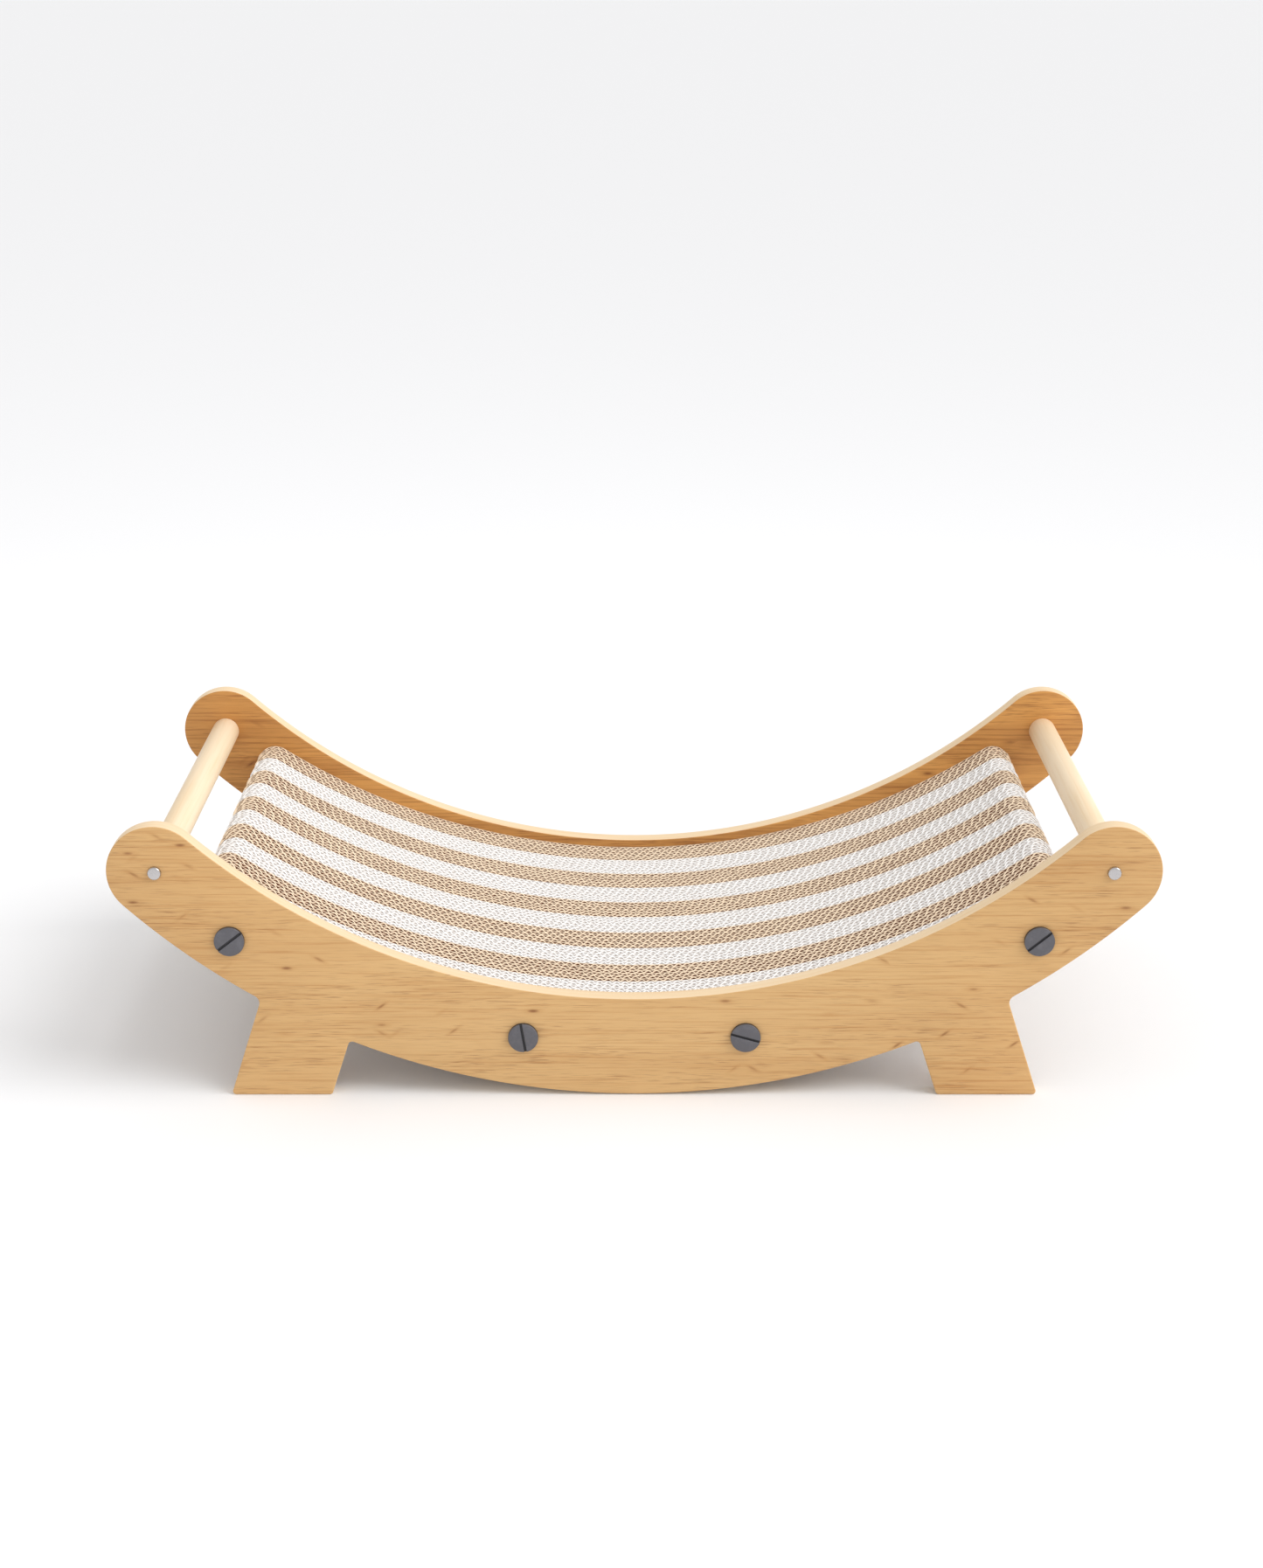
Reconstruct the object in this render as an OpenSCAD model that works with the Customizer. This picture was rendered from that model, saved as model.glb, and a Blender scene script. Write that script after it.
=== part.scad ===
// Cat scratching lounge: a wooden cradle that carries a curved corrugated pad.
// Millimetres. X runs along the length, Y across it, with the front at -Y, and Z up from the floor.

/* [Overall] */
// Length over the rounded ends of the side panels
length = 620; // [520:1:760]
// Width over the outer faces of the side panels
width = 300; // [240:1:380]
// Height of the grip bars above the floor
grip_h = 142; // [130:0.5:150]

/* [Side panels] */
// Thickness of a side panel
panel_t = 12; // [9:0.5:18]
// Radius of a side panel's rounded ends
end_r = 28.5; // [24:0.5:32]
// Height of the seat curve above the floor at the middle
seat_h = 62; // [58:0.5:66]
// Gap between the floor and the belly curve at the middle
belly_gap = 0.5; // [0.3:0.1:2]

/* [Feet] */
// Distance from a grip bar's centre in to a foot's outer bottom corner
foot_inset = 38.8; // [30:0.1:60]
// Width of a foot along the floor
foot_w = 60.7; // [45:0.1:75]
// Lean of a foot away from the middle, in degrees
foot_lean = 18; // [8:0.5:22]
// Radius in the corner between a foot's outer side and the arm
knee_r = 5; // [2:0.5:8]
// Radius in the corner between a foot's inner side and the belly
notch_r = 2.5; // [1:0.5:4]
// Radius of a foot's bottom corners
toe_r = 2; // [0.5:0.5:4]

/* [Pad] */
// Drop from the seat curve to the pad's top at the middle
pad_drop = 5; // [2:0.5:10]
// Drop from the grip bars' centres to the pad's top at its ends
pad_end_drop = 11; // [6:0.5:20]
// Thickness of the pad
pad_t = 30; // [26:0.5:34]
// Radius of the pad's top corners
pad_corner_r = 12; // [6:0.5:14]
// Gap between the pad and each side panel
pad_side_gap = 0.5; // [0.3:0.1:2]
// Gap for the fingers between the pad and a grip bar
finger_gap = 12.5; // [10:0.5:20]

/* [Grip bars] */
// Diameter of a grip bar
bar_d = 18; // [16:0.5:24]
// Diameter of the steel pins that hold the grip bars
pin_d = 8; // [6:0.5:10]
// Depth of a pin in the bar's end
pin_depth = 28; // [15:1:40]
// Length of a pin that stands out of the side panel
pin_proud = 2; // [0.5:0.1:3]

/* [Cross rails] */
// Diameter of a cross rail
rail_d = 16; // [14:0.5:18]
// Distance from the middle to a lower rail
rail_low_x = 66.5; // [40:0.5:90]
// Distance from the pad's end in to an upper rail
rail_inset = 20.6; // [16:0.1:35]
// Depth of the rails' centres under the pad's top
rail_depth = 24; // [22:0.5:25]

/* [Screws] */
// Diameter of a screw's slotted head
head_d = 18; // [14:0.5:22]
// Height of a screw's head
head_h = 2.5; // [2:0.1:4]
// Bevel round the edge of a screw's head
head_bevel = 0.5; // [0.2:0.1:1]
// Width of the slot in a screw's head
slot_w = 1.4; // [1:0.1:3]
// Depth of the slot in a screw's head
slot_depth = 1.2; // [0.8:0.1:1.6]
// Diameter of a screw's shank
shank_d = 6; // [4:0.5:7]
// Length of a screw's shank inside the rail
shank_in = 15; // [10:0.5:20]
// Outer diameter of a brass insert
insert_d = 9; // [8.5:0.5:10]
// Length of a brass insert
insert_len = 16; // [10:0.5:22]

/* [Clearances] */
// Radial clearance of a pin, a screw or an insert in its bore
fit_gap = 0.05; // [0.02:0.01:0.1]
// Radial clearance of a screw's shank in a side panel
hole_gap = 0.3; // [0.2:0.05:0.6]
// Gap between the pad and a rail in its groove
groove_gap = 0.3; // [0.3:0.05:0.6]
// Room left past the tip of a pin or a screw
tip_gap = 2; // [1:0.5:4]

/* [Hidden] */
// Facets of the long arcs and of the small rounds
FN_ARC = 360;
FN_ROUND = 72;
// Steps round the fill in a foot's upper corner
FILL_STEPS = 12;
// Extra length of a cutting tool past the face that it cuts
OVER = 1;
// Number of glued strips across the pad, one node each
STRIPS = 10;

grip_x = length / 2 - end_r;
inner_w = width - 2 * panel_t;
outer_y = width / 2;
inner_y = inner_w / 2;

// Radius of the arc through (0, low) that bends past the top of a disc at (x, z), touching it
function hollow_r(x, z, r, low) = (x * x + pow(z - low, 2) - r * r) / (2 * (z - low + r));
// Radius of the arc through (0, low) that wraps under the same disc, touching it
function belly_r(x, z, r, low) = (x * x + pow(z - low, 2) - r * r) / (2 * (z - low - r));
// Height of the arc of radius r through (0, low), at the distance x from the middle
function arc_z(r, low, x) = low + r - sqrt(r * r - x * x);
// Point at the distance d from p towards q
function towards(p, q, d) = p + (q - p) * d / norm(q - p);
function flip(p) = [-p[0], p[1]];
function mirrored(points) = concat(points, [for (i = [len(points) - 1:-1:0]) flip(points[i])]);

seat_r = hollow_r(grip_x, grip_h, end_r, seat_h);
seat_c = [0, seat_h + seat_r];
under_r = belly_r(grip_x, grip_h, end_r, belly_gap);
under_c = [0, belly_gap + under_r];

// Foot: its bottom corners, and the unit vector up along its leaning sides
foot_out_x = grip_x - foot_inset;
foot_in_x = foot_out_x - foot_w;
foot_up = [-sin(foot_lean), cos(foot_lean)];
foot_top = arc_z(under_r, belly_gap, foot_out_x);

// Pad: the end faces stand upright, one finger gap from the grip bars
pad_x = grip_x - bar_d / 2 - finger_gap;
pad_h = seat_h - pad_drop;
pad_end_h = grip_h - pad_end_drop;
corner_c = [pad_x - pad_corner_r, pad_end_h - pad_corner_r];
pad_r = hollow_r(corner_c[0], corner_c[1], pad_corner_r, pad_h);
pad_c = [0, pad_h + pad_r];
pad_w = inner_w - 2 * pad_side_gap;
strip_w = pad_w / STRIPS;

// Rails: their centres lie on one arc under the pad's top
rail_high_x = pad_x - rail_inset;
rail_arc_r = pad_r + rail_depth;
function rail_z(x) = arc_z(rail_arc_r, pad_h - rail_depth, x);
rail_x = [-rail_high_x, -rail_low_x, rail_low_x, rail_high_x];
rail_bore_depth = max(insert_len, shank_in) + tip_gap;

// Turn of each screw's slot as it was left by the coin, front and back, from left to right
SLOT_TURN = [[38, 99, -16, 40], [12, -52, 71, -30]];

FACES = ["front", "back"];
SIDES = ["left", "right"];
SPOTS = ["upper_left", "lower_left", "lower_right", "upper_right"];

// Stands an X-Z outline up as a slab that starts at y0 and runs t towards +Y
module slab(y0, t) {
  translate([0, y0 + t, 0]) rotate([90, 0, 0]) linear_extrude(t) children();
}

// Places a piece drawn along +Z so that it runs inwards from a side panel's outer face, at x and z
module from_face(face, x, z) {
  if (face == 0) translate([x, -outer_y, z]) rotate([-90, 0, 0]) children();
  if (face == 1) translate([x, outer_y, z]) rotate([90, 0, 0]) children();
}

module disc(c, r, fn = FN_ROUND) {
  translate(c) circle(r, $fn = fn);
}

// Points on the arc round c of radius r, from the angle a0 through the angle sweep
function arc_points(c, r, a0, sweep) =
  [for (k = [0:FILL_STEPS]) c + r * [cos(a0 + sweep * k / FILL_STEPS), sin(a0 + sweep * k / FILL_STEPS)]];

// Fills the corner between the belly arc and a foot's straight side, which runs from p along the
// unit vector u. turn is 1 where the open corner lies to the right of that side, -1 to the left.
module corner_fill(p, u, turn, r) {
  n = turn * [u[1], -u[0]];
  q = p + n * r - under_c;
  rise = -(q * u) - sqrt(pow(q * u, 2) - q * q + pow(under_r + r, 2));
  c = p + n * r + u * rise;
  a0 = atan2(under_c[1] - c[1], under_c[0] - c[0]);
  a1 = atan2(-n[1], -n[0]);
  sweep = turn * ((turn * (a1 - a0) + 360) % 360);
  polygon(concat(arc_points(c, r, a0, sweep), [
    c - n * (r + OVER), towards(c, under_c, 2 * r + OVER) - n * r, towards(c, under_c, r + OVER)
  ]));
}

// Foot on the right: leaning sides and rounded bottom corners
module foot_outline() {
  inner = [foot_in_x, 0];
  outer = [foot_out_x, 0];
  reach = foot_top / foot_up[1];
  // The inner corner is wider than a right angle by the lean, and the outer one is narrower
  inner_run = toe_r * tan((90 - foot_lean) / 2);
  outer_run = toe_r * tan((90 + foot_lean) / 2);
  polygon([
    inner + [inner_run, 0], outer - [outer_run, 0], outer + foot_up * outer_run,
    outer + foot_up * reach, inner + foot_up * reach, inner + foot_up * inner_run
  ]);
  disc(inner + [inner_run, toe_r], toe_r);
  disc(outer + [-outer_run, toe_r], toe_r);
}

// Crescent between the seat curve and the belly curve, cut at the rounded ends
module crescent_outline() {
  grip = [grip_x, grip_h];
  difference() {
    intersection() {
      disc(under_c, under_r, FN_ARC);
      polygon(mirrored([
        towards(seat_c, grip, seat_r), grip, towards(grip, under_c, -2 * end_r), [length / 2, -OVER]
      ]));
    }
    disc(seat_c, seat_r, FN_ARC);
  }
}

// What is joined to the crescent on the right: the rounded end and the foot with its filled corners
module panel_end(y0) {
  slab(y0, panel_t) disc([grip_x, grip_h], end_r);
  slab(y0, panel_t) foot_outline();
  slab(y0, panel_t) corner_fill([foot_out_x, 0], foot_up, 1, knee_r);
  slab(y0, panel_t) corner_fill([foot_in_x, 0], foot_up, -1, notch_r);
}

module side_panel(face) {
  y0 = face == 0 ? -outer_y : inner_y;
  color([0.80, 0.60, 0.37])
  difference() {
    union() {
      slab(y0, panel_t) crescent_outline();
      panel_end(y0);
      mirror([1, 0, 0]) panel_end(y0);
    }
    for (s = [-1, 1])
      from_face(face, s * grip_x, grip_h) translate([0, 0, -OVER])
        cylinder(d = pin_d + 2 * fit_gap, h = panel_t + 2 * OVER, $fn = FN_ROUND);
    for (x = rail_x)
      from_face(face, x, rail_z(x)) translate([0, 0, -OVER])
        cylinder(d = shank_d + 2 * hole_gap, h = panel_t + 2 * OVER, $fn = FN_ROUND);
  }
}

// A round wooden bar between the side panels, with a blind bore in each end
module cross_bar(x, z, d, bore_d, bore_depth) {
  difference() {
    from_face(0, x, z) translate([0, 0, panel_t]) cylinder(d = d, h = inner_w, $fn = FN_ROUND);
    for (face = [0, 1])
      from_face(face, x, z) translate([0, 0, panel_t - OVER])
        cylinder(d = bore_d, h = bore_depth + OVER, $fn = FN_ROUND);
  }
}

module grip_bar(side) {
  color([1.0, 0.90, 0.76])
  cross_bar((2 * side - 1) * grip_x, grip_h, bar_d, pin_d + 2 * fit_gap, pin_depth + tip_gap);
}

module bar_pin(face, side) {
  color([0.80, 0.81, 0.83])
  from_face(face, (2 * side - 1) * grip_x, grip_h) translate([0, 0, -pin_proud])
    cylinder(d = pin_d, h = pin_proud + panel_t + pin_depth, $fn = FN_ROUND);
}

module cross_rail(i) {
  color([0.90, 0.78, 0.60])
  cross_bar(rail_x[i], rail_z(rail_x[i]), rail_d, insert_d + 2 * fit_gap, rail_bore_depth);
}

module threaded_insert(face, i) {
  color([0.80, 0.65, 0.30])
  from_face(face, rail_x[i], rail_z(rail_x[i])) translate([0, 0, panel_t]) difference() {
    cylinder(d = insert_d, h = insert_len, $fn = FN_ROUND);
    translate([0, 0, -OVER])
      cylinder(d = shank_d + 2 * fit_gap, h = insert_len + 2 * OVER, $fn = FN_ROUND);
  }
}

module slotted_screw(face, i) {
  color([0.31, 0.32, 0.36])
  from_face(face, rail_x[i], rail_z(rail_x[i])) {
    difference() {
      translate([0, 0, -head_h]) union() {
        cylinder(d1 = head_d - 2 * head_bevel, d2 = head_d, h = head_bevel, $fn = FN_ROUND);
        translate([0, 0, head_bevel]) cylinder(d = head_d, h = head_h - head_bevel, $fn = FN_ROUND);
      }
      rotate([0, 0, (2 * face - 1) * SLOT_TURN[face][i]])
        translate([-head_d / 2 - OVER, -slot_w / 2, -head_h - OVER])
          cube([head_d + 2 * OVER, slot_w, slot_depth + OVER]);
    }
    cylinder(d = shank_d, h = panel_t + shank_in, $fn = FN_ROUND);
  }
}

// Pad outline: top arc, rounded top corners, upright ends, under arc and a groove over each rail
module pad_outline() {
  difference() {
    intersection() {
      disc(pad_c, pad_r + pad_t, FN_ARC);
      union() {
        polygon(mirrored([
          towards(pad_c, corner_c, pad_r), corner_c, corner_c + [pad_corner_r, 0], [pad_x, 0]
        ]));
        for (s = [-1, 1]) disc([s * corner_c[0], corner_c[1]], pad_corner_r);
      }
    }
    disc(pad_c, pad_r, FN_ARC);
    for (x = rail_x) {
      groove_r = rail_d / 2 + groove_gap;
      disc([x, rail_z(x)], groove_r);
      translate([x - groove_r, -OVER]) square([2 * groove_r, rail_z(x) + OVER]);
    }
  }
}

// Strip n is counted from the front, where the white ones come first
module pad_strip(n) {
  color(n % 2 == 0 ? [0.89, 0.75, 0.60] : [0.95, 0.95, 0.96])
  slab(-pad_w / 2 + (n - 1) * strip_w, strip_w) pad_outline();
}

function padded(n) = n < 10 ? str("0", n) : str(n);

for (f = [0, 1])
  side_panel(f);
for (s = [0, 1])
  grip_bar(s);
for (f = [0, 1], s = [0, 1])
  bar_pin(f, s);
for (i = [0:3])
  cross_rail(i);
for (f = [0, 1], i = [0:3])
  threaded_insert(f, i);
for (f = [0, 1], i = [0:3])
  slotted_screw(f, i);
for (n = [1:STRIPS])
  pad_strip(n);
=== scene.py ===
"""Finished cat scratching lounge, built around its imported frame.

Laid out as an add-on and run as a script. Everything is in metres, in the frame's own axes:
X runs along the lounge, Y across it with the front at -Y, and Z up from the floor.
"""

import math

import bmesh
import bpy
from bpy.props import FloatProperty, FloatVectorProperty, IntProperty, PointerProperty
from mathutils import Matrix, Vector, noise


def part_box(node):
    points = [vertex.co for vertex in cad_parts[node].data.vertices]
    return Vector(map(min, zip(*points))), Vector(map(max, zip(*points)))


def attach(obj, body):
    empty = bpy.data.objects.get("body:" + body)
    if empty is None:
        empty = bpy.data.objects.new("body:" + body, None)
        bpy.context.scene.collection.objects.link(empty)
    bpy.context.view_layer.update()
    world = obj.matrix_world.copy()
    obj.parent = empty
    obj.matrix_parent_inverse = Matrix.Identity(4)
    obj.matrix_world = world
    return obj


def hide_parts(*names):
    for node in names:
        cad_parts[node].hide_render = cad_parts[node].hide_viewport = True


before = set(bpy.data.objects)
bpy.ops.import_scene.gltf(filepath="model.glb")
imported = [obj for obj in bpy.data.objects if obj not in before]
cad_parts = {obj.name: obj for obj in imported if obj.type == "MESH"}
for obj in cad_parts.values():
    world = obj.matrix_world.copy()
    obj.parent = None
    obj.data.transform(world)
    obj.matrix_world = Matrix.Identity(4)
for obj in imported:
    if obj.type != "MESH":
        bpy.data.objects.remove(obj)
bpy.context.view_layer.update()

bl_info = {
    "name": "Cat scratching lounge",
    "version": (1, 0, 0),
    "blender": (4, 5, 0),
    "location": "3D View > Sidebar > Lounge",
    "description": "Wooden cradle with a striped corrugated pad, built around its packed frame",
    "category": "Add Mesh",
}

FACES = ("front", "back")
SIDES = ("left", "right")
SPOTS = ("upper_left", "lower_left", "lower_right", "upper_right")
STRIPS = [name for name in sorted(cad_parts) if name.startswith("pad_strip_")]

# Points closer than this, in metres, are one point
HAIR = 1e-6
# An edge that turns more than this stays crisp, and a smaller turn is shaded smooth
TURNED_CRISP = math.radians(35)
PANEL_CRISP = math.radians(20)
BOARD_CRISP = math.radians(50)
# Fewest edges in an arc, and how much closer they stand round a small corner
ARC_STEPS_MIN = 6
CORNER_FINENESS = 6
# Segments of a rounded edge, of a bore and of a screw's shank
EDGE_SEGMENTS = 3
BORE_SEGMENTS = 40
SHANK_SEGMENTS = 32


def middle(node):
    """Centre of a frame node's box."""
    low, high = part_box(node)
    return (low + high) / 2


def span(node):
    """Lengths of a frame node's box."""
    low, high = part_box(node)
    return high - low


def tone(red, green, blue):
    """Linear colour of a paint card's 0 to 255 values."""
    def linear(level):
        share = level / 255
        return share / 12.92 if share <= 0.04045 else ((share + 0.055) / 1.055) ** 2.4
    return linear(red), linear(green), linear(blue)


# ---------------------------------------------------------------------------
# Sizes and colours that a user would change
# ---------------------------------------------------------------------------

def length(name, description, default):
    return FloatProperty(name=name, description=description, default=default, min=0.0,
                         unit="LENGTH", precision=5)


def colour(name, description, default):
    return FloatVectorProperty(name=name, description=description, default=default, size=3,
                               min=0.0, max=1.0, subtype="COLOR")


class LoungePanelSizes(bpy.types.PropertyGroup):
    seat_height: length("Seat height", "Height of the seat curve at the middle", 0.062)
    belly_gap: length("Belly gap", "Gap between the floor and the belly curve", 0.0005)
    foot_inset: length("Foot inset", "From a grip bar's centre in to a foot's outer bottom corner",
                       0.0388)
    foot_width: length("Foot width", "Width of a foot along the floor", 0.0607)
    foot_lean: FloatProperty(name="Foot lean", description="Lean of a foot away from the middle",
                             default=math.radians(18), subtype="ANGLE", unit="ROTATION")
    knee_radius: length("Knee radius", "Radius between a foot's outer side and the arm", 0.005)
    notch_radius: length("Notch radius", "Radius between a foot's inner side and the belly", 0.0025)
    toe_radius: length("Toe radius", "Radius of a foot's bottom corners", 0.002)
    edge_radius: length("Edge radius", "Rounding of the panel's edges", 0.0009)
    arc_step: length("Arc step", "Longest edge along a curve", 0.003)


class LoungePadSizes(bpy.types.PropertyGroup):
    thickness: length("Thickness", "Depth of the pad under its top curve", 0.030)
    corner_radius: length("Corner radius", "Radius of the pad's top corners", 0.012)
    groove_gap: length("Groove gap", "Gap between a rail and its groove", 0.0003)
    paper: length("Paper", "Thickness of one sheet of the board", 0.00070)
    flute: length("Flute", "Length of one wave of the fluted sheets", 0.0052)
    layers: IntProperty(name="Layers", description="Layers of board in one strip", default=6, min=1)
    flute_steps: IntProperty(name="Flute steps", description="Edges along one wave", default=8,
                             min=4)


class LoungeTrimSizes(bpy.types.PropertyGroup):
    bar_chamfer: length("Bar chamfer", "Chamfer at the ends of bars and rails", 0.0006)
    press_gap: length("Press gap", "Gap round a pressed pin or insert", 0.00006)
    hole_gap: length("Hole gap", "Gap round a screw's shank in its hole", 0.0003)
    bore_depth: length("Bore depth", "Depth of the bore in a grip bar's end", 0.030)
    rail_bore_depth: length("Rail bore depth", "Depth of the bore in a rail's end", 0.018)
    pin_edge: length("Pin edge", "Rounding of a pin's end", 0.001)
    head_height: length("Head height", "Height of a screw's head", 0.0025)
    head_edge: length("Head edge", "Bevel round a screw's head and slot", 0.0004)
    slot_width: length("Slot width", "Width of the slot in a screw's head", 0.0014)
    slot_depth: length("Slot depth", "Depth of the slot in a screw's head", 0.0012)
    shank_radius: length("Shank radius", "Radius of a screw's shank", 0.003)
    round_steps: IntProperty(name="Round steps", description="Edges round a bar or a head",
                             default=72, min=12)


class LoungeColours(bpy.types.PropertyGroup):
    veneer: colour("Veneer", "Face of the side panels", tone(216, 176, 121))
    veneer_dark: colour("Veneer grain", "Grain of the panels' outer faces", tone(186, 134, 78))
    # The inner veneer is the outer oak with painted shade from between the panels: darker and
    # warmer, with stronger grain
    inner: colour("Inner veneer", "Inner face of the side panels", tone(218, 161, 90))
    shaded_inner_grain: colour("Inner grain", "Grain of the panels' inner faces", tone(146, 88, 40))
    knot: colour("Knots", "Knots and flecks in the veneer", tone(122, 70, 36))
    edge: colour("Panel edge", "Rounded edges of the side panels", tone(232, 206, 168))
    edge_dark: colour("Panel edge grain", "Grain lines in the panels' edges", tone(226, 188, 140))
    bar: colour("Bars", "Turned grip bars and rails", tone(240, 219, 188))
    bar_dark: colour("Bar grain", "Grain of the turned bars", tone(228, 199, 156))
    # The flute colours are painted shade: the same papers, darker and warmer where shade falls down
    # in the flutes
    kraft: colour("Kraft paper", "Brown strips of the pad", tone(255, 234, 205))
    kraft_flute_shade: colour("Kraft flutes", "Inside of the brown flutes", tone(126, 62, 26))
    white: colour("White paper", "White strips of the pad", tone(253, 252, 251))
    white_flute_shade: colour("White flutes", "Inside of the white flutes", tone(238, 231, 225))
    screw: colour("Screws", "Painted heads of the screws", tone(94, 93, 98))
    steel: colour("Steel", "Pins of the grip bars", tone(196, 193, 193))
    brass: colour("Brass", "Inserts in the rails", tone(200, 160, 84))
    floor: colour("Floor", "Studio floor round the lounge", tone(241, 241, 242))
    # The far floor colour is painted shade, for the light that falls off in the distance
    distant_floor_shade: colour("Far floor", "Studio floor in the distance", tone(222, 222, 223))


class LoungeStageSizes(bpy.types.PropertyGroup):
    distance: length("Camera distance", "From the front panel to the camera, along the floor",
                     1.453)
    height: length("Camera height", "Height of the camera above the floor", 0.669)
    aside: FloatProperty(name="Camera offset", description="Place of the camera along the lounge",
                         default=-0.0017, unit="LENGTH", precision=4)
    pitch: FloatProperty(name="Camera pitch", description="Angle that the camera looks down",
                         default=math.radians(18), subtype="ANGLE", unit="ROTATION")
    lens: FloatProperty(name="Lens", description="Focal length on a 36 mm frame", default=60.5,
                        subtype="DISTANCE_CAMERA")
    floor_size: length("Floor size", "Side of the studio floor", 160.0)
    floor_drop: length("Floor drop", "Gap that keeps the floor clear of the feet", 0.0001)
    sky: FloatProperty(name="Sky", description="Strength of the even studio light overhead",
                       default=0.75)
    horizon: FloatProperty(name="Horizon", default=0.895,
                           description="Strength of the studio light at the horizon")
    key: FloatProperty(name="Key", description="Strength of the key light from the right",
                       default=1.9)
    key_spread: FloatProperty(name="Key spread", default=math.radians(42), subtype="ANGLE",
                              description="Angle across the key light, for soft shadows",
                              unit="ROTATION")
    key_from: FloatVectorProperty(name="Key from", default=(2.0, -0.6, 2.0), subtype="DIRECTION",
                                  description="Direction that the key light comes from")


# ---------------------------------------------------------------------------
# Curves shared by the panels and the pad
# ---------------------------------------------------------------------------

def hollow_radius(x, z, radius, low):
    """Radius of the arc through (0, low) that touches the top of a disc at (x, z)."""
    rise = z - low
    return (x * x + rise * rise - radius * radius) / (2 * (rise + radius))


def belly_radius(x, z, radius, low):
    """Radius of the arc through (0, low) that wraps under the same disc and touches it."""
    rise = z - low
    return (x * x + rise * rise - radius * radius) / (2 * (rise - radius))


def angle_from(centre, point):
    return math.atan2(point[1] - centre[1], point[0] - centre[0])


class Pen:
    """Draws one chain of edges in the X-Z plane of a bmesh."""

    def __init__(self, bm, x, z):
        self.bm = bm
        self.tip = bm.verts.new((x, 0, z))

    def line(self, x, z):
        self.tip = bmesh.ops.extrude_vert_indiv(self.bm, verts=[self.tip])["verts"][0]
        self.tip.co = (x, 0, z)

    def arc(self, centre, sweep, step):
        """Turns the tip round centre by sweep: seen from the front, anticlockwise if positive."""
        radius = math.hypot(self.tip.co.x - centre[0], self.tip.co.z - centre[1])
        steps = max(ARC_STEPS_MIN, math.ceil(abs(sweep) * radius / step))
        spun = bmesh.ops.spin(self.bm, geom=[self.tip], cent=(centre[0], 0, centre[1]),
                              axis=(0, -1, 0), dvec=(0, 0, 0), angle=sweep, steps=steps,
                              use_merge=False, use_normal_flip=False, use_duplicate=False)
        self.tip = [item for item in spun["geom_last"] if isinstance(item, bmesh.types.BMVert)][0]


def corner_centre(foot_corner, up, turn, radius, belly_centre, belly):
    """Centre of the fill between the belly arc and a foot's side, and the way to its open side."""
    out = Vector((up.y, -up.x)) * turn
    start = foot_corner + out * radius - belly_centre
    along = start.dot(up)
    rise = -along - math.sqrt(along * along - start.length_squared + (belly + radius) ** 2)
    return foot_corner + out * radius + up * rise, out


def draw_half_outline(bm, sizes):
    """Right half of a side panel's outline, from mid seat round to mid belly."""
    grip = middle("grip_bar_right")
    end = Vector((grip.x, grip.z))
    end_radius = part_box("side_panel_front")[1].x - grip.x
    seat = hollow_radius(end.x, end.y, end_radius, sizes.seat_height)
    belly = belly_radius(end.x, end.y, end_radius, sizes.belly_gap)
    seat_centre = Vector((0, sizes.seat_height + seat))
    belly_centre = Vector((0, sizes.belly_gap + belly))
    up = Vector((-math.sin(sizes.foot_lean), math.cos(sizes.foot_lean)))
    outer = Vector((grip.x - sizes.foot_inset, 0))
    inner = outer - Vector((sizes.foot_width, 0))
    knee, knee_out = corner_centre(outer, up, 1, sizes.knee_radius, belly_centre, belly)
    notch, notch_out = corner_centre(inner, up, -1, sizes.notch_radius, belly_centre, belly)
    quarter = math.pi / 2
    wide, narrow = quarter + sizes.foot_lean, quarter - sizes.foot_lean
    outer_run = sizes.toe_radius * math.tan(wide / 2)
    inner_run = sizes.toe_radius * math.tan(narrow / 2)
    step = sizes.arc_step
    fine = step / CORNER_FINENESS

    seat_angle = angle_from(seat_centre, end)
    belly_angle = angle_from(belly_centre, end)
    knee_angle = angle_from(belly_centre, knee)
    notch_angle = angle_from(belly_centre, notch)
    pen = Pen(bm, 0, sizes.seat_height)
    pen.arc(seat_centre, seat_angle + quarter, step)
    pen.arc(end, belly_angle - seat_angle - math.pi, step / 2)
    pen.arc(belly_centre, knee_angle - belly_angle, step)
    turn = math.atan2(-knee_out.y, -knee_out.x) - angle_from(knee, belly_centre)
    turn %= 2 * math.pi
    pen.arc(knee, turn, fine)
    side = outer + up * outer_run
    pen.line(side.x, side.y)
    pen.arc((outer.x - outer_run, sizes.toe_radius), -wide, fine)
    pen.line(inner.x + inner_run, 0)
    pen.arc((inner.x + inner_run, sizes.toe_radius), -narrow, fine)
    side = notch - notch_out * sizes.notch_radius
    pen.line(side.x, side.y)
    turn = angle_from(notch, belly_centre) - math.atan2(-notch_out.y, -notch_out.x)
    turn %= 2 * math.pi
    pen.arc(notch, turn, fine)
    pen.arc(belly_centre, -quarter - notch_angle, step)


# ---------------------------------------------------------------------------
# Making pieces
# ---------------------------------------------------------------------------

def finish_piece(bm, name, body, nodes, materials, crisp=TURNED_CRISP):
    """Turns a bmesh into a finished piece that rides on body and stands for nodes."""
    mesh = bpy.data.meshes.new(name)
    bm.to_mesh(mesh)
    bm.free()
    for material in materials:
        mesh.materials.append(material)
    mesh.shade_smooth()
    mesh.set_sharp_from_angle(angle=crisp)
    piece = bpy.data.objects.new(name, mesh)
    bpy.context.scene.collection.objects.link(piece)
    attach(piece, body)
    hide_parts(*nodes)
    return piece


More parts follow.
